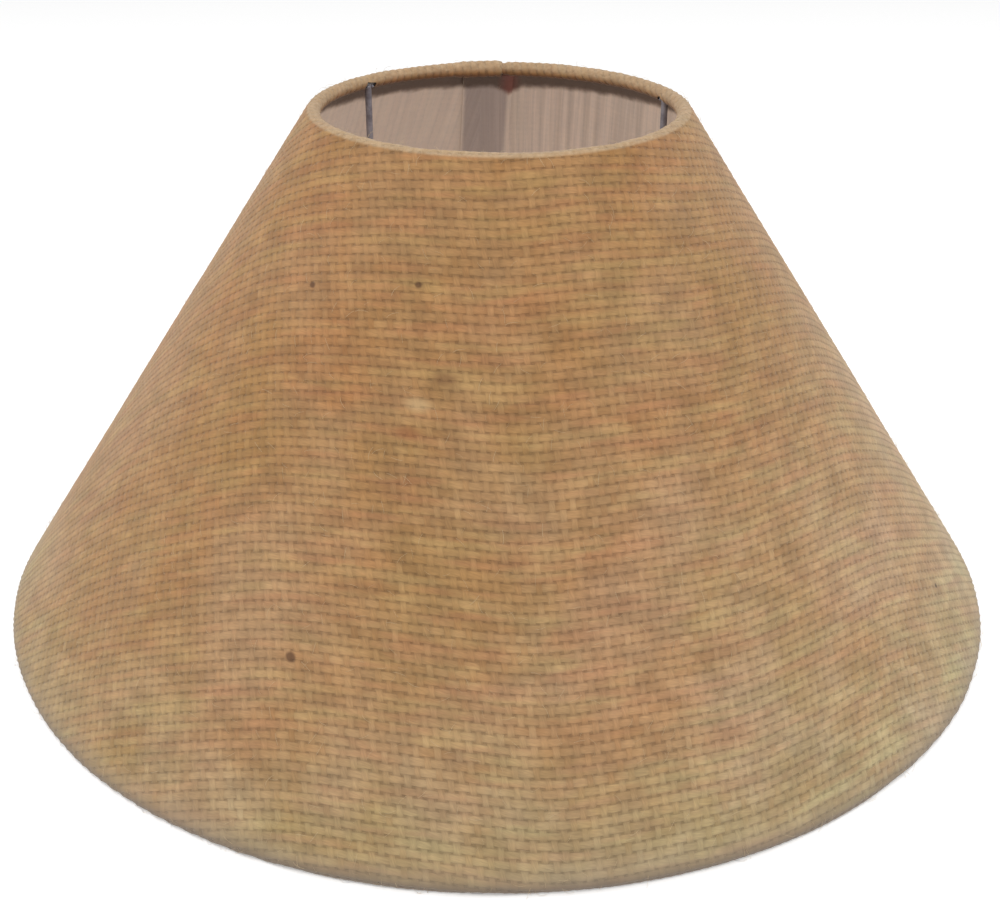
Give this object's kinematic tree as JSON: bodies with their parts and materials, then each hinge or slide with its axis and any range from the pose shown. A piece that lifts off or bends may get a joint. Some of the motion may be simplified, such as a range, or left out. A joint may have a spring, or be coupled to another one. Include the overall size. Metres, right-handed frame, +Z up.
{
  "type": "lamp shade",
  "caption": "Steep cone lamp shade in natural hessian on a translucent backing, with rolled wire-stiffened edges and a dropped fitter that sits on a lampholder.",
  "frame": {"origin": "centre of the circle that the shade stands on", "axes": "+Z up through the middle of the shade, +Y towards the lapped back seam, -Y the front, +X to the right seen from the front"},
  "size_m": [0.305, 0.305, 0.151],
  "materials": {
    "hessian": "coarse plain-woven jute, dry and hairy",
    "backing": "translucent, smooth and matt",
    "tape": "clear adhesive film",
    "ring_wire": "dull zinc-grey wire",
    "fitter_steel": "dull zinc-grey wire"
  },
  "bodies": {
    "root": {"burlap_cover": "hessian", "lining_panel": "backing", "seam_tape": "tape", "top_ring": "ring_wire", "bottom_ring": "ring_wire", "fitter_arm_left": "fitter_steel", "fitter_arm_front": "fitter_steel", "fitter_arm_right": "fitter_steel", "lampholder_washer": "fitter_steel"}
  },
  "joints": []
}
